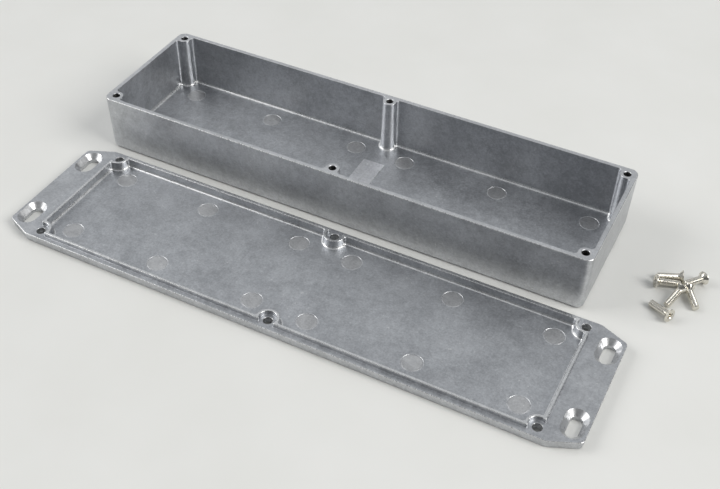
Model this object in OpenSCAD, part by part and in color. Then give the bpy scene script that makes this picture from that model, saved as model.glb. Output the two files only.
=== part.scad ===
// Die cast aluminium enclosure, opened out: the deep box stands on the table,
// its flanged lid lies inside up in front of it, and the six countersunk lid
// screws lie loose beside them. Millimetres, +X along the box, +Y back, +Z up.
// The origin is the centre of the box's outside base.

/* [Box] */
// Outside length of the box at its rim
box_l = 254; // [120:1:400]
// Outside width of the box at its rim
box_w = 70; // [45:1:160]
// Height of the box from base to rim
box_h = 30; // [18:0.5:80]
// Wall thickness at the rim
wall_t = 2.2; // [1.6:0.1:4]
// Thickness of the box floor
floor_t = 2.3; // [1.6:0.1:5]
// Outside draft, how far each outer wall leans in from rim to base
outer_draft = 0.7; // [0:0.1:2]
// Inside draft, how far each inner wall leans in from rim to floor
inner_draft = 0.5; // [0:0.1:2]
// Radius of the four outer upright corners
corner_r = 4; // [2:0.5:10]
// Radius of the outer edge round the base
base_r = 2; // [0.5:0.1:4]
// Radius of the fillet between floor and walls
floor_r = 1.2; // [0.4:0.1:3]
// Fine bevel round the outside of the rim
rim_bevel = 0.3; // [0:0.05:0.8]

/* [Screw pillars] */
// Radius of each screw pillar in the box
pillar_r = 3.4; // [2.8:0.1:6]
// Distance from the rim's outer faces to each pillar's axis
pillar_inset = 4.75; // [4:0.05:8]
// Radius of the blend between pillar and wall
pillar_fillet = 1.5; // [0.5:0.1:3]
// Radius of the fillet round the foot of each pillar
pillar_foot_r = 1.1; // [0.4:0.1:2]
// Diameter of the tapped holes, over the threads
tapped_d = 3.5; // [2.5:0.1:5]
// Depth of the tapped holes
tapped_depth = 20; // [8:0.5:28]
// Chamfer at the mouth of each tapped hole
tapped_chamfer = 0.3; // [0:0.05:0.6]

/* [Cast marks] */
// Diameter of the round ejector marks on both floors
mark_d = 9.5; // [5:0.5:14]
// Depth of the ejector marks
mark_depth = 0.15; // [0.05:0.05:0.5]
// Distance of the ejector marks from the length centreline
mark_y = 21; // [10:0.5:28]
// Distances of the ejector marks from the width centreline
mark_x = [13.8, 63.9, 111.3];
// Bare raised pad on the box floor, length and width
pad_size = [11.4, 29]; // [4:0.2:60]
// Height of the bare pad above the floor
pad_h = 0.2; // [0.1:0.05:0.6]

/* [Lid] */
// Overall length of the lid over its flanges
lid_l = 282; // [140:1:440]
// Overall width of the lid
lid_w = 70; // [45:1:160]
// Height of the lid's mating face above its outside face
lid_t = 4.4; // [3:0.1:8]
// Thickness of the lid inside its locating ridge
lid_floor_t = 2; // [1.4:0.1:4]
// Half length at which the long sides turn in towards the ends
lid_shoulder_x = 127.75; // [60:0.25:200]
// Angle by which the long sides turn in
lid_shoulder_angle = 23.5; // [10:0.5:45]
// Radius where the long sides turn in
lid_shoulder_r = 4; // [1:0.5:10]
// Radius of the four end corners
lid_end_r = 2.6; // [1:0.1:8]
// Lean of the lid's long and end faces
lid_draft = 0.5; // [0:0.1:1.5]
// Centre of the lid on the table, from the box's centre
lid_at = [10, -77.2]; // [-200:0.1:200]

/* [Locating ridge] */
// Half length and half width of the ridge's outer face
ridge_outer = [124.5, 32.45]; // [20:0.05:200]
// Thickness of the ridge
ridge_t = 1.4; // [0.8:0.1:3]
// Height of the ridge above the mating face
ridge_h = 2; // [1:0.1:4]
// Radius of the ridge's detour on the screw hole side
ridge_detour_r = 3.85; // [3:0.05:6]
// Fillet where the ridge meets the lid floor
ridge_foot_r = 1; // [0.4:0.1:2]

/* [Lid holes] */
// Diameter of the screw holes
screw_hole_d = 4.2; // [3:0.1:6]
// Diameter of their countersinks on the outside face
countersink_d = 7.3; // [5:0.1:10]
// Distance of the flange slots from the lid's centre, along and across
slot_at = [134.7, 21.5]; // [10:0.1:200]
// Width of the flange slots
slot_w = 5.3; // [3:0.1:8]
// Overall length of the flange slots, across the lid
slot_l = 11.2; // [6:0.1:20]
// Width of the slots' bevelled mouth on the inside face
slot_mouth_w = 10.1; // [5:0.1:14]

/* [Screws] */
// Diameter of the countersunk head
head_d = 6.2; // [4:0.1:9]
// Height of the head's straight rim
head_rim_h = 0.3; // [0.1:0.05:0.6]
// Diameter over the threads
shank_d = 3.3; // [2:0.1:5]
// Overall length
screw_l = 11.6; // [6:0.1:30]
// Chamfer at the tip
tip_chamfer = 0.3; // [0.1:0.05:0.8]
// Span of the cross recess in the head
recess_l = 3.6; // [2:0.1:5]
// Width of each recess wing
recess_w = 0.8; // [0.4:0.05:1.4]
// Depth of the recess
recess_depth = 1.5; // [0.8:0.1:2.5]

/* [Loose screws on the table] */
// Each lying screw: X and Y of its head, heading of its axis, turn of its recess
screw_1_at = [161, 4.9, 16.5, 20]; // [-360:0.1:360]
// Second lying screw
screw_2_at = [150.3, -3.5, 205, 50]; // [-360:0.1:360]
// Third screw, its tip on the fourth one's head
screw_3_at = [169.4, 8.7, 54, 10]; // [-360:0.1:360]
// Fall of its axis from its tip to its head
screw_3_fall = 4.5; // [0:0.1:30]
// Fourth lying screw
screw_4_at = [164.6, -1.1, 123.5, 35]; // [-360:0.1:360]
// Fifth screw, its head leaning on the fourth one's
screw_5_at = [162.4, -4.4, 71, 25]; // [-360:0.1:360]
// Rise of its axis from the table
screw_5_rise = 17.4; // [8:0.1:60]
// Sixth lying screw, apart from the others
screw_6_at = [162.1, -22, -29.5, 15]; // [-360:0.1:360]

/* [Hidden] */
$fn = 96;
cast_grey = [0.66, 0.67, 0.69];
steel_grey = [0.74, 0.73, 0.70];
over = 1;
bite = 0.12;
hair = 0.02;
half_l = box_l / 2;
half_w = box_w / 2;
pillar_x = half_l - pillar_inset;
pillar_y = half_w - pillar_inset;
cavity_l = half_l - wall_t;
cavity_w = half_w - wall_t;
cavity_h = box_h - floor_t;
ridge_inner = [ridge_outer[0] - ridge_t, ridge_outer[1] - ridge_t];
slot_r = slot_w / 2;
mouth_r = slot_mouth_w / 2;
slot_run = slot_l - slot_w;
mouth_h = mouth_r - slot_r;
head_cone_h = (head_d - shank_d) / 2;
lie_angle = atan((head_d - shank_d) / 2 / (screw_l - tip_chamfer - head_rim_h));
lie_height = head_d / 2 * cos(lie_angle) + head_rim_h * sin(lie_angle);
lean_height = (screw_l - tip_chamfer) * sin(screw_5_rise) + shank_d / 2 * cos(screw_5_rise);

// Profile with leaning sides, round bottom corners and a bevelled top edge. Each
// corner circle stands out a hair, so that it crosses its side at a clear angle.
module leaning_profile(bottom, top, h, r, bevel = 0) {
    lean = atan((top - bottom) / h);
    foot = bottom - r * (1 - sin(lean)) / cos(lean);
    side = foot + r * cos(lean);
    rise = r * (1 - sin(lean));
    right = concat(
        [[foot + hair, 0], [side, rise]],
        bevel > 0 ? [[top - bevel * tan(lean), h - bevel]] : [],
        [[top - bevel, h]]);
    last = len(right) - 1;
    polygon(concat(right, [for (i = [last:-1:0]) [-right[i][0], right[i][1]]]));
    for (s = [-1, 1])
        translate([s * (foot + hair), r])
            circle(r);
}

// A block whose long and end faces follow two leaning profiles.
module leaning_block(bottom, top, h, r, bevel = 0) {
    intersection() {
        rotate([90, 0, 0])
            linear_extrude(2 * top[1] + 2 * over, center = true)
                leaning_profile(bottom[0], top[0], h, r, bevel);
        rotate([90, 0, 90])
            linear_extrude(2 * top[0] + 2 * over, center = true)
                leaning_profile(bottom[1], top[1], h, r, bevel);
    }
}

// Rounded rectangle given by its half sides.
module rounded_plan(half, r) {
    square([2 * half[0], 2 * half[1] - 2 * r], center = true);
    square([2 * half[0] - 2 * r, 2 * half[1]], center = true);
    for (sx = [-1, 1], sy = [-1, 1])
        translate([sx * (half[0] - r), sy * (half[1] - r)])
            circle(r);
}

// The six screw positions shared by box and lid.
module at_screws(sides = [-1, 0, 1]) {
    for (sx = sides, sy = [-1, 1])
        translate([sx * pillar_x, sy * pillar_y])
            children();
}

// The concave blend between a pillar and a wall that is "gap" from its axis, in
// the quadrant where the wall runs along +X on the +Y side. It bites a little
// into the leaning wall, so that it never just grazes it.
module pillar_blend(gap) {
    drop = gap + bite - pillar_fillet;
    run = sqrt(pow(pillar_r + pillar_fillet - hair, 2) - drop * drop);
    difference() {
        polygon([[0, 0], [run, drop], [run, gap + wall_t / 2], [0, gap + wall_t / 2]]);
        translate([run, drop])
            circle(pillar_fillet);
    }
}

// Plan of a pillar in the middle of a long wall, its wall on the +Y side.
module middle_pillar_plan() {
    gap = cavity_w - pillar_y;
    circle(pillar_r);
    for (s = [0, 1])
        mirror([s, 0])
            pillar_blend(gap);
}

// Plan of a corner pillar, its corner towards +X and +Y.
module corner_pillar_plan() {
    gap_y = cavity_w - pillar_y;
    gap_x = cavity_l - pillar_x;
    circle(pillar_r);
    square([gap_x + wall_t / 2, gap_y + wall_t / 2]);
    mirror([1, 0])
        pillar_blend(gap_y);
    rotate(-90)
        pillar_blend(gap_x);
}

// Plans of all six pillars in place.
module pillar_plans() {
    for (sy = [0, 1])
        mirror([0, sy])
            translate([0, pillar_y])
                middle_pillar_plan();
    for (sx = [0, 1], sy = [0, 1])
        mirror([sx, 0])
            mirror([0, sy])
                translate([pillar_x, pillar_y])
                    corner_pillar_plan();
}

// The fillet round the foot of a pillar, standing on Z 0.
module pillar_foot() {
    span = pillar_r + pillar_foot_r - hair;
    rotate_extrude()
        difference() {
            square([span, pillar_foot_r]);
            translate([span, pillar_foot_r])
                circle(pillar_foot_r);
        }
}

// Twelve ejector marks cut down from Z 0.
module ejector_marks() {
    for (x = mark_x, sx = [-1, 1], sy = [-1, 1])
        translate([sx * x, sy * mark_y, -mark_depth])
            cylinder(d = mark_d, h = mark_depth + over);
}

// The hollow of the box, its floor at Z 0, leaving the pillars standing.
module box_hollow() {
    rise = cavity_h + over;
    spread = inner_draft * over / cavity_h;
    difference() {
        leaning_block(
            [cavity_l - inner_draft, cavity_w - inner_draft],
            [cavity_l + spread, cavity_w + spread],
            rise, floor_r);
        translate([0, 0, -over])
            linear_extrude(rise + 2 * over)
                pillar_plans();
        translate([0, 0, -bite])
            at_screws()
                pillar_foot();
        translate([0, 0, pad_h / 2 - over / 2])
            cube([pad_size[0], pad_size[1], pad_h + over], center = true);
    }
}

// One tapped hole, its mouth at Z 0.
module tapped_hole() {
    translate([0, 0, -tapped_depth])
        cylinder(d = tapped_d, h = tapped_depth + over);
    translate([0, 0, -tapped_depth - tapped_d * 0.3])
        cylinder(d1 = 0.2, d2 = tapped_d, h = tapped_d * 0.3);
    translate([0, 0, -tapped_chamfer])
        cylinder(d1 = tapped_d, d2 = tapped_d + 4 * tapped_chamfer, h = 2 * tapped_chamfer);
}

module box_body() {
    color(cast_grey)
        difference() {
            intersection() {
                leaning_block(
                    [half_l - outer_draft, half_w - outer_draft],
                    [half_l, half_w], box_h, base_r, rim_bevel);
                linear_extrude(box_h)
                    rounded_plan([half_l + bite, half_w + bite], corner_r);
            }
            translate([0, 0, floor_t])
                box_hollow();
            translate([0, 0, floor_t])
                ejector_marks();
            translate([0, 0, box_h])
                at_screws()
                    tapped_hole();
        }
}

// Outline of the lid: straight long sides that turn in towards blunt ends.
module lid_outline() {
    a = lid_shoulder_angle;
    end_x = lid_l / 2;
    side_y = lid_w / 2;
    end_y = side_y - (end_x - lid_shoulder_x) * tan(a);
    t1 = lid_shoulder_r * tan(a / 2);
    t2 = lid_end_r * tan((90 - a) / 2);
    quarter = [
        [end_x, end_y - t2],
        [end_x - t2 * cos(a), end_y + t2 * sin(a)],
        [lid_shoulder_x + t1 * cos(a), side_y - t1 * sin(a)],
        [lid_shoulder_x - t1, side_y]];
    polygon(concat(
        [for (i = [0:3]) quarter[i]],
        [for (i = [3:-1:0]) [-quarter[i][0], quarter[i][1]]],
        [for (i = [0:3]) -quarter[i]],
        [for (i = [3:-1:0]) [quarter[i][0], -quarter[i][1]]]));
    for (sx = [-1, 1], sy = [-1, 1]) {
        translate([sx * (end_x - lid_end_r), sy * (end_y - t2)])
            circle(lid_end_r);
        translate([sx * (lid_shoulder_x - t1), sy * (side_y - lid_shoulder_r)])
            circle(lid_shoulder_r);
    }
}

// A rectangle given by its half sides, less a disc round every screw hole.
module detoured_plan(half, r) {
    difference() {
        square([2 * half[0], 2 * half[1]], center = true);
        at_screws()
            circle(r);
    }
}

// The recess inside the locating ridge, its floor at Z 0.
module lid_recess() {
    rise = lid_t - lid_floor_t + ridge_h + over;
    intersection() {
        leaning_block(ridge_inner, ridge_inner, rise, ridge_foot_r);
        linear_extrude(rise)
            detoured_plan(ridge_inner, ridge_detour_r + ridge_t);
    }
}

// One flange slot: straight through, with a 45 degree mouth on the inside face.
module flange_slot() {
    for (s = [-1, 1])
        translate([0, s * slot_run / 2, -over])
            cylinder(r = slot_r, h = lid_t + 2 * over);
    translate([0, 0, lid_t / 2])
        cube([slot_w, slot_run, lid_t + 2 * over], center = true);
    for (s = [-1, 1])
        translate([0, s * slot_run / 2, lid_t - mouth_h])
            cylinder(r1 = slot_r, r2 = mouth_r + over, h = mouth_h + over);
    rotate([90, 0, 0])
        linear_extrude(slot_run, center = true)
            polygon([
                [-slot_r, lid_t - mouth_h], [slot_r, lid_t - mouth_h],
                [mouth_r + over, lid_t + over], [-mouth_r - over, lid_t + over]]);
}

// One screw hole in the lid, countersunk from the outside face at Z 0.
module lid_screw_hole() {
    depth = (countersink_d - screw_hole_d) / 2;
    translate([0, 0, -over])
        cylinder(d = screw_hole_d, h = lid_t + ridge_h + 2 * over);
    translate([0, 0, -over])
        cylinder(d1 = countersink_d + 2 * over, d2 = screw_hole_d, h = depth + over);
}

module flanged_lid() {
    color(cast_grey)
        translate([lid_at[0], lid_at[1], 0])
            difference() {
                union() {
                    intersection() {
                        leaning_block(
                            [lid_l / 2 - lid_draft, lid_w / 2 - lid_draft],
                            [lid_l / 2, lid_w / 2], lid_t, lid_draft);
                        linear_extrude(lid_t)
                            lid_outline();
                    }
                    translate([0, 0, lid_floor_t])
                        linear_extrude(lid_t - lid_floor_t + ridge_h)
                            detoured_plan(ridge_outer, ridge_detour_r);
                }
                translate([0, 0, lid_floor_t])
                    lid_recess();
                translate([0, 0, lid_floor_t])
                    ejector_marks();
                at_screws()
                    lid_screw_hole();
                for (sx = [-1, 1], sy = [-1, 1])
                    translate([sx * slot_at[0], sy * slot_at[1], 0])
                        flange_slot();
            }
}

// Cross recess sunk from Z 0: two wings that narrow to a point.
module cross_recess() {
    intersection() {
        union() {
            for (a = [0, 90])
                rotate(a)
                    cube([recess_l, recess_w, 2 * recess_depth], center = true);
        }
        translate([0, 0, -recess_depth])
            cylinder(r1 = recess_w / 2, r2 = recess_l, h = 2 * recess_depth);
    }
}

// One lid screw, its head's face at Z 0 and its shank down -Z.
module lid_screw() {
    color(steel_grey)
        difference() {
            union() {
                translate([0, 0, -head_rim_h])
                    cylinder(d = head_d, h = head_rim_h);
                translate([0, 0, -head_rim_h - head_cone_h])
                    cylinder(d1 = shank_d, d2 = head_d, h = head_cone_h);
                translate([0, 0, -screw_l + tip_chamfer])
                    cylinder(d = shank_d, h = screw_l - tip_chamfer - head_rim_h);
                translate([0, 0, -screw_l])
                    cylinder(d1 = shank_d - 2 * tip_chamfer, d2 = shank_d, h = tip_chamfer);
            }
            cross_recess();
        }
}

// A screw whose head's centre is at a height, on an axis that heads and rises.
module placed_screw(at, height, rise) {
    translate([at[0], at[1], height])
        rotate([0, 90 - rise, at[2]])
            rotate(at[3])
                lid_screw();
}

// A screw lying on the table, on its head's rim and its tip.
module lying_screw(at) {
    placed_screw(at, lie_height, lie_angle);
}

module lid_screw_1() {
    lying_screw(screw_1_at);
}

module lid_screw_2() {
    lying_screw(screw_2_at);
}

module lid_screw_3() {
    placed_screw(screw_3_at, head_d / 2 * cos(screw_3_fall), -screw_3_fall);
}

module lid_screw_4() {
    lying_screw(screw_4_at);
}

module lid_screw_5() {
    placed_screw(screw_5_at, lean_height, screw_5_rise);
}

module lid_screw_6() {
    lying_screw(screw_6_at);
}

box_body();
flanged_lid();
lid_screw_1();
lid_screw_2();
lid_screw_3();
lid_screw_4();
lid_screw_5();
lid_screw_6();
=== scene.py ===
import math

import bmesh
import bpy
import numpy as np
from mathutils import Matrix, Vector
from mathutils.geometry import delaunay_2d_cdt


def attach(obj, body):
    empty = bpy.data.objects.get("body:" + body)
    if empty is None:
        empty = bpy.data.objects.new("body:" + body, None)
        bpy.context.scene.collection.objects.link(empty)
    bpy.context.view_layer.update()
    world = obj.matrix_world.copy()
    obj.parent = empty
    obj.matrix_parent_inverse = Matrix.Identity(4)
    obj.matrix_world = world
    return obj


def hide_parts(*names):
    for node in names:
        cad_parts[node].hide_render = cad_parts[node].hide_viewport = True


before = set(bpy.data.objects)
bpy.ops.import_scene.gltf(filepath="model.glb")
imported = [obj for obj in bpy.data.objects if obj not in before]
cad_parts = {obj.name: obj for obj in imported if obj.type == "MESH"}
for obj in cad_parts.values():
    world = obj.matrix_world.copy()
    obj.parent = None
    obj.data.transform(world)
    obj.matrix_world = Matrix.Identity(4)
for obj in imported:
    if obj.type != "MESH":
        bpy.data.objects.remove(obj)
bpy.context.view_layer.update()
scene = bpy.context.scene

# ---------------------------------------------------------------- dimensions
# Millimetres, as in the CAD: origin under the box's centre, +X along, +Z up.
MM = 0.001
BOX_L, BOX_W, BOX_H = 254.0, 70.0, 30.0
WALL, FLOOR_T = 2.2, 2.3
OUT_DRAFT, IN_DRAFT = 0.7, 0.5
OUTER_CORNER_R, UNDER_EDGE_R, RIM_EDGE_R = 4.0, 2.0, 0.35
LIP_EDGE_R, FOOT_R = 0.22, 1.2
PILLAR_R, PILLAR_BLEND_R = 3.4, 1.8
TAP_R, TAP_DEPTH, TAP_PITCH, TAP_THREAD, TAP_MOUTH = 1.78, 20.0, 0.6, 0.26, 0.26
PAD_HALF, PAD_H = (5.7, 14.5), 0.2
PAD_GROOVE_HALF, PAD_DOT_AT, PAD_DOT_R = (0.22, 11.2), (-2.4, 11.1), 0.45
HOLE_X, HOLE_Y = 122.25, 30.25
HOLES = [(x, y) for x in (-HOLE_X, 0, HOLE_X) for y in (-HOLE_Y, HOLE_Y)]
MARKS = [(x * sx, 21.0 * sy) for x in (13.8, 63.9, 111.3) for sx in (-1, 1) for sy in (-1, 1)]
MARK_R = 4.75
LID_L, LID_W, LID_T, LID_FLOOR = 282.0, 70.0, 4.4, 2.0
LID_AT = (10.0, -77.2)
LID_SHOULDER, LID_TAPER = 127.75, 23.5
LID_SHOULDER_R, LID_CORNER_R = 4.0, 2.6
LID_EDGE_R, LID_TOP_R = 0.5, 0.3
RIDGE_H, RIDGE_TOP_R = 2.0, 0.3
RIDGE_OUTER, RIDGE_INNER = (124.5, 32.45), (123.1, 31.05)
OUTER_DETOUR_R, INNER_DETOUR_R = 3.85, 5.25
OUTER_BLEND_R, INNER_BLEND_R = 0.6, 1.25
RIDGE_FOOT_R, RECESS_FOOT_R = 0.25, 1.0
LID_HOLE_R, HOLE_EDGE_R, COUNTERSINK_H = 2.1, 0.15, 1.55
SLOT_R, SLOT_RUN, SLOT_BEVEL = 2.65, 5.9, 2.4
SLOTS = [(134.7 * sx, 21.5 * sy) for sx in (-1, 1) for sy in (-1, 1)]
# Where the screws lie: head x and y, heading of the axis, turn of the recess,
# rise of the axis in degrees (None: lying on rim and tip). A scratch search fitted
# the first five to their ends as read off the photo, the sixth was worked out from
# its two ends, and all were then rounded by hand. The turns were not fitted.
SCREWS = [
    (161.0, 4.9, 16.5, 20.0, None),
    (150.3, -3.5, 205.0, 50.0, None),
    (169.4, 8.7, 54.0, 10.0, -4.5),
    (164.6, -1.1, 123.5, 35.0, None),
    (162.4, -4.4, 71.0, 25.0, 17.4),
    (162.1, -22.0, -29.5, 15.0, None),
]
HEAD_R, RIM_H, SHANK_R, SCREW_L, TIP = 3.1, 0.3, 1.65, 11.6, 0.3
NECK, SCREW_PITCH, SCREW_THREAD, SCREW_SIDES, TURN_STEPS = 1.8, 0.6, 0.13, 48, 8
SHARP_ANGLE = 38
# The cross recess at its mouth and its bottom: height, wing length, half width.
CROSS = ((0.3, 2.0, 0.48), (-1.45, 0.7, 0.26))

# The set, in metres: the paper, the direction of the pale wall with the world's
# dimmest and brightest strength, the softboxes, and the photo's camera, which was
# fitted to the straight edges of box and lid (lens and sensor in mm, degrees).
PAPER_HALF, PAPER_AT = 2.5, (0.0, 0.0, -0.0001)
PALE_WALL, DIM, PALE = (-0.50, 0.42, 0.76), 0.16, 0.60
LIGHT_SIDE, LIGHT_AIM = 1.5, (0.0, -0.03, 0.0)
CAMERA_AT, CAMERA_LENS, SENSOR = (0.1862, -0.3767, 0.3422), 54.19, 36.0
CAMERA_AZIMUTH, CAMERA_ELEVATION, CAMERA_ROLL = -26.29, 42.48, 1.25


# ------------------------------------------------------------------ contours
# A contour is a closed counterclockwise loop of rows x, y, nx, ny, where n
# points out of the region that it encloses. Moving every point along n by the
# same amount gives a parallel contour, so walls, drafts and fillets are lofts.
def arc(cx, cy, r, a0, a1, n, side=1):
    """n points from angle a0 to a1; side is -1 where the arc bulges into the region."""
    t = np.radians(np.linspace(a0, a1, n))
    c, s = np.cos(t), np.sin(t)
    return np.stack([cx + r * c, cy + r * s, side * c, side * s], 1)


def around(quarter):
    """The whole loop from its quarter between the -Y and the +X middles."""
    q = np.concatenate(quarter)
    half = np.concatenate([q, (q * [1, -1, 1, -1])[::-1]])
    loop = np.concatenate([half, -half])
    gap = np.hypot(*(loop[:, :2] - np.roll(loop[:, :2], 1, 0)).T)
    return loop[gap > 1e-5]


def detour_plan(hx, hy, r, rho, nf=7, nd=18):
    """A rectangle less a disc of radius r round each screw hole, its corners rounded by rho."""
    ey = hy - rho - HOLE_Y
    ex = hx - rho - HOLE_X
    dx = math.sqrt((r + rho) ** 2 - ey ** 2)
    dy = math.sqrt((r + rho) ** 2 - ex ** 2)
    ty = math.degrees(math.atan2(ey, dx))
    tx = math.degrees(math.atan2(ex, dy))
    return around([
        arc(0, -HOLE_Y, r, 90, -ty, nd, -1),
        arc(dx, rho - hy, rho, 180 - ty, 270, nf),
        arc(HOLE_X - dx, rho - hy, rho, -90, ty, nf),
        arc(HOLE_X, -HOLE_Y, r, 180 + ty, 90 - tx, nd, -1),
        arc(hx - rho, dy - HOLE_Y, rho, -90 - tx, 0, nf),
    ])


def rounded_plan(hx, hy, r, n=12):
    """A rectangle of half sizes hx and hy with its corners rounded by r."""
    return around([arc(hx - r, r - hy, r, -90, 0, n)])


def lid_plan(n=10):
    """The lid's outline: its ends taper from a shoulder, with rounded corners."""
    r1, r2 = LID_SHOULDER_R, LID_CORNER_R
    end_y = LID_W / 2 - (LID_L / 2 - LID_SHOULDER) * math.tan(math.radians(LID_TAPER))
    t1 = r1 * math.tan(math.radians(LID_TAPER / 2))
    t2 = r2 * math.tan(math.radians((90 - LID_TAPER) / 2))
    return around([
        arc(LID_SHOULDER - t1, r1 - LID_W / 2, r1, -90, LID_TAPER - 90, n),
        arc(LID_L / 2 - r2, t2 - end_y, r2, LID_TAPER - 90, 0, n),
    ])


def circle(cx, cy, r, n=48):
    return arc(cx, cy, r, 0, 360 * (n - 1) / n, n)


def stadium(cx, cy, r, run, n=20):
    """A slot's outline, run long between the centres of its round ends."""
    return np.concatenate([
        arc(cx, cy - run / 2, r, -180, 0, n),
        arc(cx, cy + run / 2, r, 0, 180, n)])


# ------------------------------------------------------------------ profiles
# A profile is a list of levels: offset from the contour, height, the normal's
# share along the contour's n and along Z, and the material slot from there on.
def bend(off, z, r, a0, a1, n, out=1, slot=0):
    """A rounded edge or fillet about (off, z); out is -1 where metal lies outside the bend."""
    rows = []
    for k in range(n + 1):
        a = math.radians(a0 + (a1 - a0) * k / n)
        c, s = math.cos(a), math.sin(a)
        rows.append((off + r * c, z + r * s, out * c, out * s, slot))
    return rows


class Casting:
    """A closed mesh of lofted walls and flat caps that carries its exact normals."""

    def __init__(self, at=(0.0, 0.0)):
        self.at = at
        self.verts = []
        self.faces = []
        self.normals = []
        self.slots = []

    def ring(self, contour, off, z):
        """Adds the contour's vertices, moved out by off, at height z."""
        start = len(self.verts)
        for x, y, nx, ny in contour:
            self.verts.append((x + off * nx, y + off * ny, z))
        return list(range(start, len(self.verts)))

    def face(self, corners, normals, slot):
        self.faces.append(corners)
        self.normals.extend(normals)
        self.slots.append(slot)

    def loft(self, contour, profile):
        """Walls through the profile's levels, up round a solid or down into a hollow.
        Two levels in one place are a sharp edge."""
        n = len(contour)
        first = last = None
        previous = None
        for level in profile:
            off, z, out, up, _ = level
            if previous is not None and math.hypot(off - previous[0], z - previous[1]) < 1e-6:
                previous = level
                continue
            now = self.ring(contour, off, z)
            if previous is None:
                first = now
            else:
                above_out, above_up, above_slot = previous[2:]
                for i in range(n):
                    j = (i + 1) % n
                    ci, cj = contour[i], contour[j]
                    quad = [last[i], last[j], now[j], now[i]]
                    norm = [
                        (above_out * ci[2], above_out * ci[3], above_up),
                        (above_out * cj[2], above_out * cj[3], above_up),
                        (out * cj[2], out * cj[3], up), (out * ci[2], out * ci[3], up)]
                    self.face(quad, norm, above_slot)
            last = now
            previous = level
        return first, last

    def cap(self, outer, holes=(), up=True, slot=0):
        """A flat face between loops of vertices that are already there."""
        loops = [outer] + list(holes)
        ids = [i for loop in loops for i in loop]
        flat = [Vector(self.verts[i][:2]) for i in ids]
        edges, start = [], 0
        for loop in loops:
            m = len(loop)
            edges += [(start + k, start + (k + 1) % m) for k in range(m)]
            start += m
        points, _, tris, origin, _, _ = delaunay_2d_cdt(flat, edges, [], 0, 1e-7, True)
        z = self.verts[outer[0]][2]
        index = []
        for point, sources in zip(points, origin):
            if sources:
                index.append(ids[sources[0]])
            else:
                self.verts.append((point.x, point.y, z))
                index.append(len(self.verts) - 1)
        outlines = [np.array([self.verts[i][:2] for i in loop]) for loop in loops]
        for tri in tris:
            cx = sum(points[k].x for k in tri) / 3
            cy = sum(points[k].y for k in tri) / 3
            if not inside(outlines[0], cx, cy) or any(inside(o, cx, cy) for o in outlines[1:]):
                continue
            a, b, c = (points[k] for k in tri)
            turn = (b.x - a.x) * (c.y - a.y) - (b.y - a.y) * (c.x - a.x)
            corners = [index[k] for k in tri]
            if (turn > 0) != up:
                corners = corners[::-1]
            self.face(corners, [(0, 0, 1 if up else -1)] * 3, slot)

    def build(self, name, materials):
        mesh = bpy.data.meshes.new(name)
        ax, ay = self.at
        verts = [((x + ax) * MM, (y + ay) * MM, z * MM) for x, y, z in self.verts]
        mesh.from_pydata(verts, [], self.faces)
        for material in materials:
            mesh.materials.append(material)
        mesh.polygons.foreach_set("material_index", self.slots)
        mesh.polygons.foreach_set("use_smooth", [True] * len(self.faces))
        normals = np.array(self.normals)
        normals /= np.linalg.norm(normals, axis=1)[:, None]
        mesh.normals_split_custom_set([tuple(n) for n in normals])
        mesh.update()
        obj = bpy.data.objects.new(name, mesh)
        scene.collection.objects.link(obj)
        return obj


def inside(loop, x, y):
    """Whether a point is inside a closed outline, by counting crossings."""
    x0, y0 = loop[:, 0], loop[:, 1]
    x1, y1 = np.roll(x0, -1), np.roll(y0, -1)
    hit = (y0 > y) != (y1 > y)
    with np.errstate(divide="ignore", invalid="ignore"):
        cross = x0 + (y - y0) * (x1 - x0) / (y1 - y0)
    return bool(np.count_nonzero(hit & (x < cross)) % 2)


# ----------------------------------------------------------------- materials
class Nodes:
    """Short names for building a node tree."""

    def __init__(self, name):
        self.material = bpy.data.materials.new(name)
        self.material.use_nodes = True
        self.tree = self.material.node_tree
        self.shader = self.tree.nodes["Principled BSDF"]
        self.place = self.add("ShaderNodeTexCoord").outputs["Object"]

    def add(self, kind, **values):
        node = self.tree.nodes.new(kind)
        for key, value in values.items():
            setattr(node, key, value)
        return node

    def link(self, a, b):
        self.tree.links.new(a, b)

    def noise(self, size, detail=3.0, rough=0.55, distort=0.0):
        """Noise whose grains are about size millimetres across."""
        node = self.add("ShaderNodeTexNoise")
        node.inputs["Scale"].default_value = 1000.0 / size
        node.inputs["Detail"].default_value = detail
        node.inputs["Roughness"].default_value = rough
        node.inputs["Distortion"].default_value = distort
        self.link(self.place, node.inputs["Vector"])
        return node.outputs["Fac"]

    def span(self, value, low, high, to_low=0.0, to_high=1.0):
        """Maps low..high of value to to_low..to_high."""
        node = self.add("ShaderNodeMapRange")
        node.inputs["From Min"].default_value = low
        node.inputs["From Max"].default_value = high
        node.inputs["To Min"].default_value = to_low
        node.inputs["To Max"].default_value = to_high
        self.link(value, node.inputs["Value"])
        return node.outputs["Result"]

    def math(self, operation, a, b):
        node = self.add("ShaderNodeMath", operation=operation)
        for socket, value in zip(node.inputs, (a, b)):
            if isinstance(value, (int, float)):
                socket.default_value = value
            else:
                self.link(value, socket)
        return node.outputs[0]

    def mix(self, factor, a, b):
        node = self.add("ShaderNodeMix", data_type="RGBA")
        for socket, value in zip((node.inputs[0], node.inputs[6], node.inputs[7]), (factor, a, b)):
            if isinstance(value, (int, float)):
                socket.default_value = value
            elif isinstance(value, tuple):
                socket.default_value = (*value, 1.0)
            else:
                self.link(value, socket)
        return node.outputs[2]

    def bump(self, height, strength, distance, under=None):
        node = self.add("ShaderNodeBump")
        node.inputs["Strength"].default_value = strength
        node.inputs["Distance"].default_value = distance * MM
        self.link(height, node.inputs["Height"])
        if under is not None:
            self.link(under, node.inputs["Normal"])
        return node.outputs["Normal"]


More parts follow.
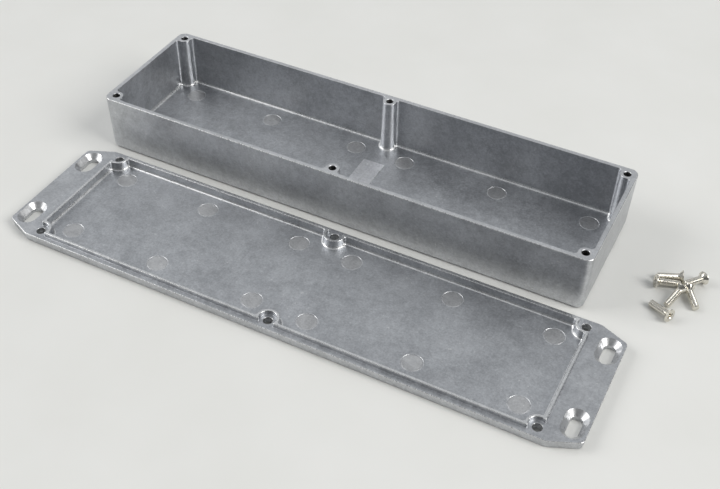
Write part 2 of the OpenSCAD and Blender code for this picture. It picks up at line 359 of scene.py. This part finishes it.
def cast_metal(name, dark, light, rough, grain=1.0, wear_and_sheen=0.35, specks=0.5):
    """As-cast aluminium: fine grained and matt, flecked, lighter on its convex edges, partly rubbed wear
    and partly a painted highlight.
    """
    nodes = Nodes(name)
    cloud = nodes.noise(22.0, 4.0, 0.65, 0.5)
    mottle = nodes.noise(3.4, 4.0, 0.7)
    fine = nodes.noise(1.0, 3.0, 0.6)
    dust = nodes.noise(0.42, 2.0, 0.6)
    body = nodes.math("ADD", nodes.math("MULTIPLY", cloud, 0.30), nodes.math("MULTIPLY", mottle, 0.25))
    body = nodes.math("ADD", body, nodes.math("MULTIPLY", fine, 0.30))
    body = nodes.math("ADD", body, nodes.math("MULTIPLY", dust, 0.15))
    tone = nodes.mix(nodes.span(body, 0.41, 0.59), dark, light)
    fleck = nodes.math("MULTIPLY", nodes.span(nodes.noise(1.3, 2.0, 0.5), 0.66, 0.72),
                       nodes.span(cloud, 0.45, 0.6))
    # Convex edges, found by pointiness, are lightened towards pale grey: partly rubbed wear, partly a
    # painted highlight.
    rub_and_sheen = nodes.span(nodes.add("ShaderNodeNewGeometry").outputs["Pointiness"], 0.505, 0.56)
    rub_and_sheen = nodes.math("MULTIPLY", rub_and_sheen, nodes.span(nodes.noise(3.0, 3.0), 0.3, 0.6, 0.4, 1.0))
    bright = nodes.math("ADD", nodes.math("MULTIPLY", rub_and_sheen, wear_and_sheen), nodes.math("MULTIPLY", fleck, specks))
    tone = nodes.mix(bright, tone, (0.88, 0.88, 0.88))
    nodes.link(tone, nodes.shader.inputs["Base Color"])
    nodes.shader.inputs["Metallic"].default_value = 1.0
    haze = nodes.math("ADD", nodes.math("MULTIPLY", cloud, 0.4), nodes.math("MULTIPLY", fine, 0.6))
    soft = nodes.span(haze, 0.38, 0.62, rough[0], rough[1])
    soft = nodes.math("SUBTRACT", soft, nodes.math("MULTIPLY", rub_and_sheen, 0.10))
    nodes.link(soft, nodes.shader.inputs["Roughness"])
    wave = nodes.bump(nodes.noise(9.0, 2.0, 0.5), 0.12, 0.12)
    coarse = nodes.bump(fine, 0.34 * grain, 0.11, wave)
    nodes.link(nodes.bump(dust, 0.28 * grain, 0.05, coarse), nodes.shader.inputs["Normal"])
    return nodes.material


# The edge material is lighter than the cast metal: partly rubbed wear on outer edges, partly a painted
# highlight along edges, fillets and the ridge's top.
CAST, EDGE_WEAR_SHEEN, FACE, PIN, PAD, BORE_SHADE = range(6)
CAST_SET = [
    cast_metal("cast_aluminium", (0.41, 0.42, 0.44), (0.63, 0.645, 0.67), (0.34, 0.48)),
    cast_metal("edge_wear_and_sheen", (0.66, 0.665, 0.67), (0.86, 0.865, 0.87), (0.24, 0.38), 0.6),
    cast_metal("faced_aluminium", (0.56, 0.567, 0.58), (0.76, 0.768, 0.785), (0.32, 0.44), 0.8),
    cast_metal("ejector_face", (0.46, 0.462, 0.47), (0.66, 0.662, 0.67), (0.38, 0.50), 0.9),
    cast_metal("rough_pad", (0.56, 0.57, 0.60), (0.88, 0.89, 0.93), (0.40, 0.56), 2.2),
    # The bore material is painted near black: the shade inside the tapped holes.
    cast_metal("bore_painted_shade", (0.10, 0.10, 0.10), (0.24, 0.24, 0.245), (0.40, 0.55)),
]


# ------------------------------------------------------------------- details
def ejector_mark(casting, x, y, z):
    """An ejector pin's round mark with a fine groove round it: gives its top loop."""
    top, low = casting.loft(circle(x, y, MARK_R, 56), [
        (0.26, z, 0, 1, EDGE_WEAR_SHEEN), (0.16, z + 0.05, 0, 1, EDGE_WEAR_SHEEN),
        (0.05, z - 0.02, -0.75, 0.65, CAST), (-0.06, z - 0.12, 0, 1, CAST),
        (-0.22, z - 0.04, 0.5, 0.85, PIN), (-0.36, z - 0.04, 0, 1, PIN)])
    casting.cap(low, slot=PIN)
    return top


def tapped_hole(casting, x, y, z):
    """A blind hole with thread grooves down its wall: gives its top loop."""
    half = TAP_PITCH / 2
    level = z - TAP_MOUTH
    # Below its mouth the hole's wall takes the bore material, painted dark for the shade inside it.
    rows = [(TAP_MOUTH, z, -0.2, 0.98, FACE), (0.18, z - 0.04, -0.6, 0.8, CAST),
            (0.0, level, -0.8, 0.6, BORE_SHADE), (0.0, level, -0.8, -0.6, BORE_SHADE)]
    while level > z - TAP_DEPTH + TAP_PITCH:
        rows += [(-TAP_THREAD, level - half, -0.8, -0.6, BORE_SHADE),
                 (-TAP_THREAD, level - half, -0.8, 0.6, BORE_SHADE),
                 (0.0, level - TAP_PITCH, -0.8, 0.6, BORE_SHADE),
                 (0.0, level - TAP_PITCH, -0.8, -0.6, BORE_SHADE)]
        level -= TAP_PITCH
    rows += [(-TAP_THREAD, level - half, -1, 0, BORE_SHADE),
             (-1.4, level - 1.5 * TAP_PITCH, -0.4, 0.9, BORE_SHADE)]
    top, low = casting.loft(circle(x, y, TAP_R, 40), rows)
    casting.cap(low, slot=BORE_SHADE)
    return top


def scribed(casting, outline, z):
    """A shallow sunk line or dot in a face at z: gives its top loop."""
    top, low = casting.loft(outline, [(0.0, z, -0.7, 0.7, PAD), (-0.1, z - 0.14, -0.7, 0.7, PAD)])
    casting.cap(low, slot=PAD)
    return top


# ----------------------------------------------------------------------- box
def make_box():
    """The deep casting: shell, tapped holes in the rim, marks and pad on the floor."""
    casting = Casting()
    lean = math.degrees(math.atan(OUT_DRAFT / BOX_H))
    outer = rounded_plan(BOX_L / 2, BOX_W / 2, OUTER_CORNER_R, 16)
    below_rim = BOX_H - RIM_EDGE_R
    under, rim = casting.loft(
        outer,
        bend(-OUT_DRAFT - UNDER_EDGE_R, UNDER_EDGE_R, UNDER_EDGE_R, -90, -lean, 8)
        + [(-0.035, below_rim, 1, -0.02, EDGE_WEAR_SHEEN)]
        + bend(-0.035 - RIM_EDGE_R, below_rim, RIM_EDGE_R, 0, 90, 5, slot=EDGE_WEAR_SHEEN))
    casting.cap(under, up=False)
    inner = detour_plan(BOX_L / 2 - WALL, BOX_W / 2 - WALL, PILLAR_R, PILLAR_BLEND_R)
    below_lip = BOX_H - LIP_EDGE_R
    foot_z = FLOOR_T + FOOT_R
    # Down the inner walls; the fillet at the floor takes the edge material, a painted highlight there.
    lip, foot = casting.loft(
        inner,
        bend(LIP_EDGE_R, below_lip, LIP_EDGE_R, 90, 180, 4, slot=FACE)
        + [(0.0, below_lip, -1, 0.016, CAST), (-IN_DRAFT, foot_z, -1, 0.016, CAST)]
        + bend(-IN_DRAFT - FOOT_R, foot_z, FOOT_R, 0, -90, 8, -1, EDGE_WEAR_SHEEN))
    holes = [tapped_hole(casting, x, y, BOX_H) for x, y in HOLES]
    casting.cap(rim, [lip] + holes, slot=FACE)
    marks = [ejector_mark(casting, x, y, FLOOR_T) for x, y in MARKS]
    pad_z = FLOOR_T + PAD_H
    low, high = casting.loft(rounded_plan(*PAD_HALF, 0.5, 5), [
        (0.12, FLOOR_T, 0.3, 0.95, EDGE_WEAR_SHEEN), (0.0, FLOOR_T + 0.14, 0.8, 0.6, PAD),
        (-0.14, pad_z, 0, 1, PAD)])
    groove = scribed(casting, rounded_plan(*PAD_GROOVE_HALF, 0.2, 4), pad_z)
    dot = scribed(casting, circle(*PAD_DOT_AT, PAD_DOT_R, 20), pad_z)
    casting.cap(high, [groove, dot], slot=PAD)
    casting.cap(foot, marks + [low])
    return casting.build("open_box", CAST_SET)


# ----------------------------------------------------------------------- lid
def make_lid():
    """The lid casting, inside up: plate, locating ridge, screw holes, flange slots."""
    casting = Casting(LID_AT)
    top = LID_T + RIDGE_H
    below_top = LID_T - LID_TOP_R
    above_top = LID_T + RIDGE_FOOT_R
    below_crest = top - RIDGE_TOP_R
    under, edge = casting.loft(
        lid_plan(),
        bend(-2 * LID_EDGE_R, LID_EDGE_R, LID_EDGE_R, -90, -6, 5)
        + [(-0.03, below_top, 1, -0.1, EDGE_WEAR_SHEEN)]
        + bend(-0.03 - LID_TOP_R, below_top, LID_TOP_R, 0, 90, 4, slot=EDGE_WEAR_SHEEN))
    base, crest = casting.loft(
        detour_plan(*RIDGE_OUTER, OUTER_DETOUR_R, OUTER_BLEND_R),
        bend(RIDGE_FOOT_R, above_top, RIDGE_FOOT_R, -90, -180, 4, -1)
        + [(0.0, above_top, 1, 0.05, CAST), (-0.08, below_crest, 1, 0.05, EDGE_WEAR_SHEEN)]
        + bend(-0.08 - RIDGE_TOP_R, below_crest, RIDGE_TOP_R, 0, 90, 4, slot=EDGE_WEAR_SHEEN))
    foot_z = LID_FLOOR + RECESS_FOOT_R
    # Down into the recess; its foot fillet takes the edge material, a painted highlight there.
    brow, foot = casting.loft(
        detour_plan(*RIDGE_INNER, INNER_DETOUR_R, INNER_BLEND_R),
        bend(RIDGE_TOP_R, below_crest, RIDGE_TOP_R, 90, 180, 4, slot=EDGE_WEAR_SHEEN)
        + [(0.0, below_crest, -1, 0.04, CAST), (-0.1, foot_z, -1, 0.04, CAST)]
        + bend(-0.1 - RECESS_FOOT_R, foot_z, RECESS_FOOT_R, 0, -90, 6, -1, slot=EDGE_WEAR_SHEEN))
    casting.cap(crest, [brow], slot=EDGE_WEAR_SHEEN)
    tops, bottoms = [], []
    hole_z = LID_T - HOLE_EDGE_R
    for x, y in HOLES:
        upper, lower = casting.loft(
            circle(x, y, LID_HOLE_R, 40),
            bend(HOLE_EDGE_R, hole_z, HOLE_EDGE_R, 90, 180, 3, slot=EDGE_WEAR_SHEEN)
            + [(0.0, hole_z, -1, 0, CAST), (0.0, COUNTERSINK_H, -1, 0, CAST),
               (0.0, COUNTERSINK_H, -0.7, -0.7, FACE),
               (COUNTERSINK_H - 0.05, 0.05, -0.7, -0.7, EDGE_WEAR_SHEEN),
               (COUNTERSINK_H, 0.0, 0, -1, FACE)])
        tops.append(upper)
        bottoms.append(lower)
    bevel_z = LID_T - SLOT_BEVEL
    for x, y in SLOTS:
        upper, lower = casting.loft(stadium(x, y, SLOT_R, SLOT_RUN), [
            (SLOT_BEVEL + 0.02, LID_T, 0, 1, EDGE_WEAR_SHEEN),
            (SLOT_BEVEL - 0.06, LID_T - 0.06, -0.7, 0.7, FACE),
            (0.0, bevel_z, -0.7, 0.7, FACE), (0.0, bevel_z, -1, 0, CAST),
            (0.0, 0.15, -1, 0, CAST), (0.15, 0.0, -0.2, -1, CAST)])
        tops.append(upper)
        bottoms.append(lower)
    casting.cap(edge, [base] + tops, slot=CAST)
    casting.cap(under, bottoms, up=False)
    casting.cap(foot, [ejector_mark(casting, x, y, LID_FLOOR) for x, y in MARKS])
    return casting.build("flanged_cover", CAST_SET)


# -------------------------------------------------------------------- screws
def nickel():
    """Smooth bright plating, a little yellow."""
    nodes = Nodes("nickel_plate")
    mottle = nodes.noise(0.8, 3.0)
    tone = nodes.mix(nodes.span(mottle, 0.35, 0.65), (0.66, 0.63, 0.56), (0.84, 0.81, 0.74))
    nodes.link(tone, nodes.shader.inputs["Base Color"])
    nodes.shader.inputs["Metallic"].default_value = 1.0
    nodes.link(nodes.span(nodes.noise(0.5, 3.0), 0.3, 0.7, 0.07, 0.18), nodes.shader.inputs["Roughness"])
    nodes.link(nodes.bump(nodes.noise(0.4, 2.0), 0.06, 0.02), nodes.shader.inputs["Normal"])
    return nodes.material


def cut_cross(mesh):
    """Sinks the cross recess into the head with a tapered cross shaped cutter."""
    bm = bmesh.new()
    rings = []
    for z, wing, half in CROSS:
        ring = []
        for q in range(4):
            a = math.radians(90 * q)
            for x, y in ((half, half), (half, wing), (-half, wing)):
                ring.append(bm.verts.new((
                    (x * math.cos(a) - y * math.sin(a)) * MM,
                    (x * math.sin(a) + y * math.cos(a)) * MM, z * MM)))
        rings.append(ring)
    n = len(rings[0])
    for i in range(n):
        bm.faces.new([rings[0][i], rings[0][(i + 1) % n], rings[1][(i + 1) % n], rings[1][i]])
    bm.faces.new(rings[0][::-1])
    bm.faces.new(rings[1])
    bmesh.ops.recalc_face_normals(bm, faces=bm.faces)
    cutter_mesh = bpy.data.meshes.new("cutter")
    bm.to_mesh(cutter_mesh)
    bm.free()
    cutter = bpy.data.objects.new("cutter", cutter_mesh)
    blank = bpy.data.objects.new("blank", mesh)
    scene.collection.objects.link(cutter)
    scene.collection.objects.link(blank)
    cut = blank.modifiers.new("cut", "BOOLEAN")
    cut.operation = "DIFFERENCE"
    cut.solver = "EXACT"
    cut.object = cutter
    bpy.context.view_layer.update()
    graph = bpy.context.evaluated_depsgraph_get()
    done = bpy.data.meshes.new_from_object(blank.evaluated_get(graph))
    bpy.data.objects.remove(blank)
    bpy.data.objects.remove(cutter)
    return done


def screw_mesh(name, material):
    """A countersunk screw, its head's face at Z 0 and its threaded shank down -Z."""
    n = SCREW_SIDES
    neck = -RIM_H - NECK
    end = -SCREW_L + TIP
    head = [(2.6, 0.0), (HEAD_R - 0.1, -0.03), (HEAD_R, -0.12),
            (HEAD_R, -RIM_H), (HEAD_R - 0.06, -RIM_H - 0.1), (SHANK_R + 0.12, -RIM_H - 1.36),
            (SHANK_R - 0.06, -RIM_H - 1.55), (SHANK_R - 0.06, neck)]
    tip = [(SHANK_R - TIP, -SCREW_L + 0.03), (SHANK_R - TIP - 0.25, -SCREW_L)]
    bm = bmesh.new()

    def ring(height, radii):
        turns = [2 * math.pi * i / n for i in range(n)]
        return [bm.verts.new((r * math.cos(a) * MM, r * math.sin(a) * MM, height * MM))
                for r, a in zip(radii, turns)]

    rings = [ring(h, [r] * n) for r, h in head]
    steps = int((neck - end) / (SCREW_PITCH / TURN_STEPS))
    for k in range(1, steps + 1):
        h = neck + (end - neck) * k / steps
        fade = min(1.0, (neck - h) / SCREW_PITCH, (h - end) / SCREW_PITCH + 0.3)
        cuts = [abs(2 * ((h / SCREW_PITCH + i / n) % 1.0) - 1) for i in range(n)]
        rings.append(ring(h, [
            SHANK_R - 0.02 - SCREW_THREAD * fade * max(0.0, 1.15 * cut - 0.15) for cut in cuts]))
    rings += [ring(h, [r] * n) for r, h in tip]
    for upper, lower in zip(rings, rings[1:]):
        for i in range(n):
            bm.faces.new([upper[i], lower[i], lower[(i + 1) % n], upper[(i + 1) % n]])
    crown = bm.verts.new((0, 0, 0))
    nose = bm.verts.new((0, 0, -SCREW_L * MM))
    for i in range(n):
        bm.faces.new([crown, rings[0][i], rings[0][(i + 1) % n]])
        bm.faces.new([nose, rings[-1][(i + 1) % n], rings[-1][i]])
    bmesh.ops.recalc_face_normals(bm, faces=bm.faces)
    mesh = bpy.data.meshes.new(name)
    bm.to_mesh(mesh)
    bm.free()
    mesh = cut_cross(mesh)
    mesh.name = name
    bm = bmesh.new()
    bm.from_mesh(mesh)
    for face in bm.faces:
        face.smooth = True
    for edge in bm.edges:
        edge.smooth = len(edge.link_faces) != 2 or edge.calc_face_angle(0.0) < math.radians(SHARP_ANGLE)
    bm.to_mesh(mesh)
    bm.free()
    mesh.materials.clear()
    mesh.materials.append(material)
    return mesh


def rest_height(angle):
    """Height of a screw's head centre, where its tip or its head's rim is on the table."""
    if angle < 0:
        return HEAD_R * math.cos(angle)
    return (SCREW_L - TIP) * math.sin(angle) + SHANK_R * math.cos(angle)


def make_screws():
    """The six screws, each a copy of one mesh laid where SCREWS says."""
    made = []
    mesh = screw_mesh("lid_screw_shape", nickel())
    lie = math.atan((HEAD_R - SHANK_R) / (SCREW_L - TIP - RIM_H))
    lie_height = HEAD_R * math.cos(lie) + RIM_H * math.sin(lie)
    for number, (x, y, heading, turn, rise) in enumerate(SCREWS, 1):
        if rise is None:
            angle, height = lie, lie_height
        else:
            angle = math.radians(rise)
            height = rest_height(angle)
        placed = mesh.copy()
        placed.transform(
            Matrix.Translation((x * MM, y * MM, height * MM))
            @ Matrix.Rotation(math.radians(heading), 4, "Z")
            @ Matrix.Rotation(math.pi / 2 - angle, 4, "Y")
            @ Matrix.Rotation(math.radians(turn), 4, "Z"))
        obj = bpy.data.objects.new(f"countersunk_screw_{number}", placed)
        scene.collection.objects.link(obj)
        made.append(obj)
    return made


box = make_box()
lid = make_lid()
screws = make_screws()
pieces = [(box, "box_body", "box_casting"), (lid, "flanged_lid", "lid_casting")]
pieces += [(screw, f"lid_screw_{i}", "screw_steel") for i, screw in enumerate(screws, 1)]
for piece, node, slot in pieces:
    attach(piece, "root")
    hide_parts(node)


# ----------------------------------------------------------- floor and light
def paper():
    """The pale matt paper that everything lies on."""
    nodes = Nodes("pale_paper")
    tone = nodes.mix(nodes.span(nodes.noise(60.0, 3.0), 0.3, 0.7), (0.80, 0.80, 0.775), (0.83, 0.83, 0.81))
    nodes.link(tone, nodes.shader.inputs["Base Color"])
    nodes.shader.inputs["Roughness"].default_value = 0.85
    nodes.shader.inputs["Specular IOR Level"].default_value = 0.2
    nodes.link(nodes.bump(nodes.noise(0.8, 3.0), 0.15, 0.05), nodes.shader.inputs["Normal"])
    return nodes.material


def make_floor():
    bm = bmesh.new()
    bmesh.ops.create_grid(bm, x_segments=8, y_segments=8, size=PAPER_HALF)
    mesh = bpy.data.meshes.new("paper_floor")
    bm.to_mesh(mesh)
    bm.free()
    mesh.materials.append(paper())
    obj = bpy.data.objects.new("paper_floor", mesh)
    obj.location = PAPER_AT
    scene.collection.objects.link(obj)
    return obj


make_floor()


def studio_world():
    """A dim room that brightens towards a pale wall behind the object, on its left, and overhead."""
    world = bpy.data.worlds.new("studio")
    world.use_nodes = True
    tree = world.node_tree
    place = tree.nodes.new("ShaderNodeTexCoord")
    towards = tree.nodes.new("ShaderNodeVectorMath")
    towards.operation = "DOT_PRODUCT"
    towards.inputs[1].default_value = Vector(PALE_WALL).normalized()
    tree.links.new(place.outputs["Generated"], towards.inputs[0])
    fade = tree.nodes.new("ShaderNodeMapRange")
    fade.interpolation_type = "SMOOTHSTEP"
    fade.inputs["From Min"].default_value = 0.0
    fade.inputs["From Max"].default_value = 1.0
    fade.inputs["To Min"].default_value = DIM
    fade.inputs["To Max"].default_value = PALE
    tree.links.new(towards.outputs["Value"], fade.inputs["Value"])
    back = tree.nodes["Background"]
    back.inputs["Color"].default_value = (0.95, 0.975, 1.0, 1.0)
    tree.links.new(fade.outputs["Result"], back.inputs["Strength"])
    return world


scene.world = studio_world()


def softbox(name, at, power, colour):
    """A square area light turned towards the middle of the object."""
    light = bpy.data.lights.new(name, "AREA")
    light.shape = "RECTANGLE"
    light.size = light.size_y = LIGHT_SIDE
    light.energy = power
    light.color = colour
    lamp = bpy.data.objects.new(name, light)
    lamp.location = at
    lamp.rotation_euler = (Vector(LIGHT_AIM) - Vector(at)).to_track_quat("-Z", "Y").to_euler()
    scene.collection.objects.link(lamp)


softbox("key", at=(2.0, 0.0, 1.70), power=40.0, colour=(1.0, 0.99, 0.96))
softbox("side", at=(-2.0, -0.70, 1.50), power=24.0, colour=(1.0, 0.99, 0.97))


# -------------------------------------------------------------------- camera
def photo_camera():
    """The photo's camera: fitted azimuth, elevation, roll, lens and place."""
    az, el, roll = map(math.radians, (CAMERA_AZIMUTH, CAMERA_ELEVATION, CAMERA_ROLL))
    look = Vector((math.sin(az) * math.cos(el), math.cos(az) * math.cos(el), -math.sin(el)))
    level = Vector((math.cos(az), -math.sin(az), 0.0))
    upright = level.cross(look)
    side = math.cos(roll) * level + math.sin(roll) * upright
    up = -math.sin(roll) * level + math.cos(roll) * upright
    data = bpy.data.cameras.new("camera")
    data.sensor_width = SENSOR
    data.lens = CAMERA_LENS
    data.clip_start = 0.01
    camera = bpy.data.objects.new("camera", data)
    camera.matrix_world = Matrix.Translation(CAMERA_AT) @ Matrix(
        (side, up, -look)).transposed().to_4x4()
    scene.collection.objects.link(camera)
    return camera


scene.camera = photo_camera()
scene.view_settings.view_transform = "Standard"
